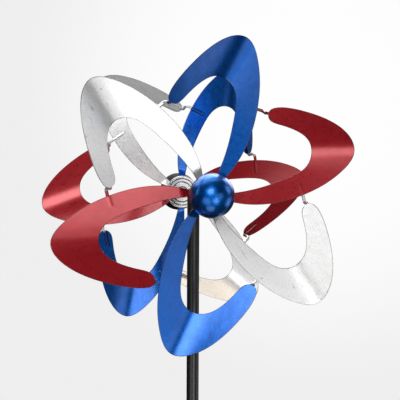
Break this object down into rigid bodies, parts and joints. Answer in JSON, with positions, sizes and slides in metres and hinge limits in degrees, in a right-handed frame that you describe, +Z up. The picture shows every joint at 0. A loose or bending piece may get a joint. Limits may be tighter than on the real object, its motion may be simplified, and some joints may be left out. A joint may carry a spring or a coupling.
{
  "type": "kinetic wind sculpture",
  "caption": "Tall garden wind sculpture: two pinwheel rotors of hooked, folded steel blades spin freely on one horizontal axle at the head of a staked pole.",
  "frame": {"origin": "on the pole's axis at the ground line, at the top of the centre spike under the foot bars", "axes": "+Z up along the pole, -Y towards the front rotor along the axle, +X to the right seen from the front"},
  "size_m": [0.6072, 0.396, 1.8987],
  "materials": {
    "blue_paint": "candy metallic blue, gloss",
    "red_paint": "candy metallic red, gloss",
    "silver_paint": "silver metallic, satin",
    "black_paint": "black powder coat, satin gloss",
    "ball_blue": "candy metallic blue, high gloss",
    "black_plastic": "moulded, satin",
    "hub_alloy": "turned, bright",
    "zinc_steel": "zinc plated",
    "bearing_steel": "ground"
  },
  "bodies": {
    "root": {"centre_spike": "black_paint", "outer_prongs": "black_paint", "foot_bar_long": "black_paint", "foot_bar_cross": "black_paint", "pole_socket": "black_paint", "pole_lower": "black_paint", "pole_middle": "black_paint", "pole_upper": "black_paint", "pole_joint_screws": "zinc_steel", "pole_cap": "black_plastic", "axle_rod": "zinc_steel", "saddle_washers": "zinc_steel", "pole_clamp_nuts": "zinc_steel", "front_spacer_sleeve": "zinc_steel", "rear_spacer_sleeve": "zinc_steel", "bearing_inner_rings": "bearing_steel", "bearing_spacers": "zinc_steel", "end_washers": "zinc_steel", "lock_nuts": "zinc_steel"},
    "front_rotor": {"front_hub_flange": "hub_alloy", "front_bearing_outer_rings": "bearing_steel", "front_bearing_balls": "bearing_steel", "front_clamp_disc": "zinc_steel", "front_clamp_screws": "zinc_steel", "front_ball_back_half": "black_plastic", "front_ball_outer_half": "ball_blue", "front_blade_1": "blue_paint", "front_blade_2": "silver_paint", "front_blade_3": "red_paint", "front_blade_4": "blue_paint", "front_blade_5": "silver_paint", "front_blade_6": "red_paint", "front_tie_rod_1": "blue_paint", "front_tie_rod_2": "silver_paint", "front_tie_rod_3": "red_paint", "front_tie_rod_4": "blue_paint", "front_tie_rod_5": "silver_paint", "front_tie_rod_6": "red_paint"},
    "rear_rotor": {"rear_hub_flange": "hub_alloy", "rear_bearing_outer_rings": "bearing_steel", "rear_bearing_balls": "bearing_steel", "rear_clamp_disc": "zinc_steel", "rear_clamp_screws": "zinc_steel", "rear_ball_back_half": "black_plastic", "rear_ball_outer_half": "ball_blue", "rear_blade_1": "blue_paint", "rear_blade_2": "silver_paint", "rear_blade_3": "red_paint", "rear_blade_4": "blue_paint", "rear_blade_5": "silver_paint", "rear_blade_6": "red_paint", "rear_tie_rod_1": "blue_paint", "rear_tie_rod_2": "silver_paint", "rear_tie_rod_3": "red_paint", "rear_tie_rod_4": "blue_paint", "rear_tie_rod_5": "silver_paint", "rear_tie_rod_6": "red_paint"}
  },
  "joints": [
    {"name": "front_spin", "type": "hinge", "parent": "root", "child": "front_rotor", "pos_m": [0, -0.119, 1.37], "axis": [0, -1, 0], "continuous": true},
    {"name": "rear_spin", "type": "hinge", "parent": "root", "child": "rear_rotor", "pos_m": [0, 0.119, 1.37], "axis": [0, 1, 0], "continuous": true}
  ]
}
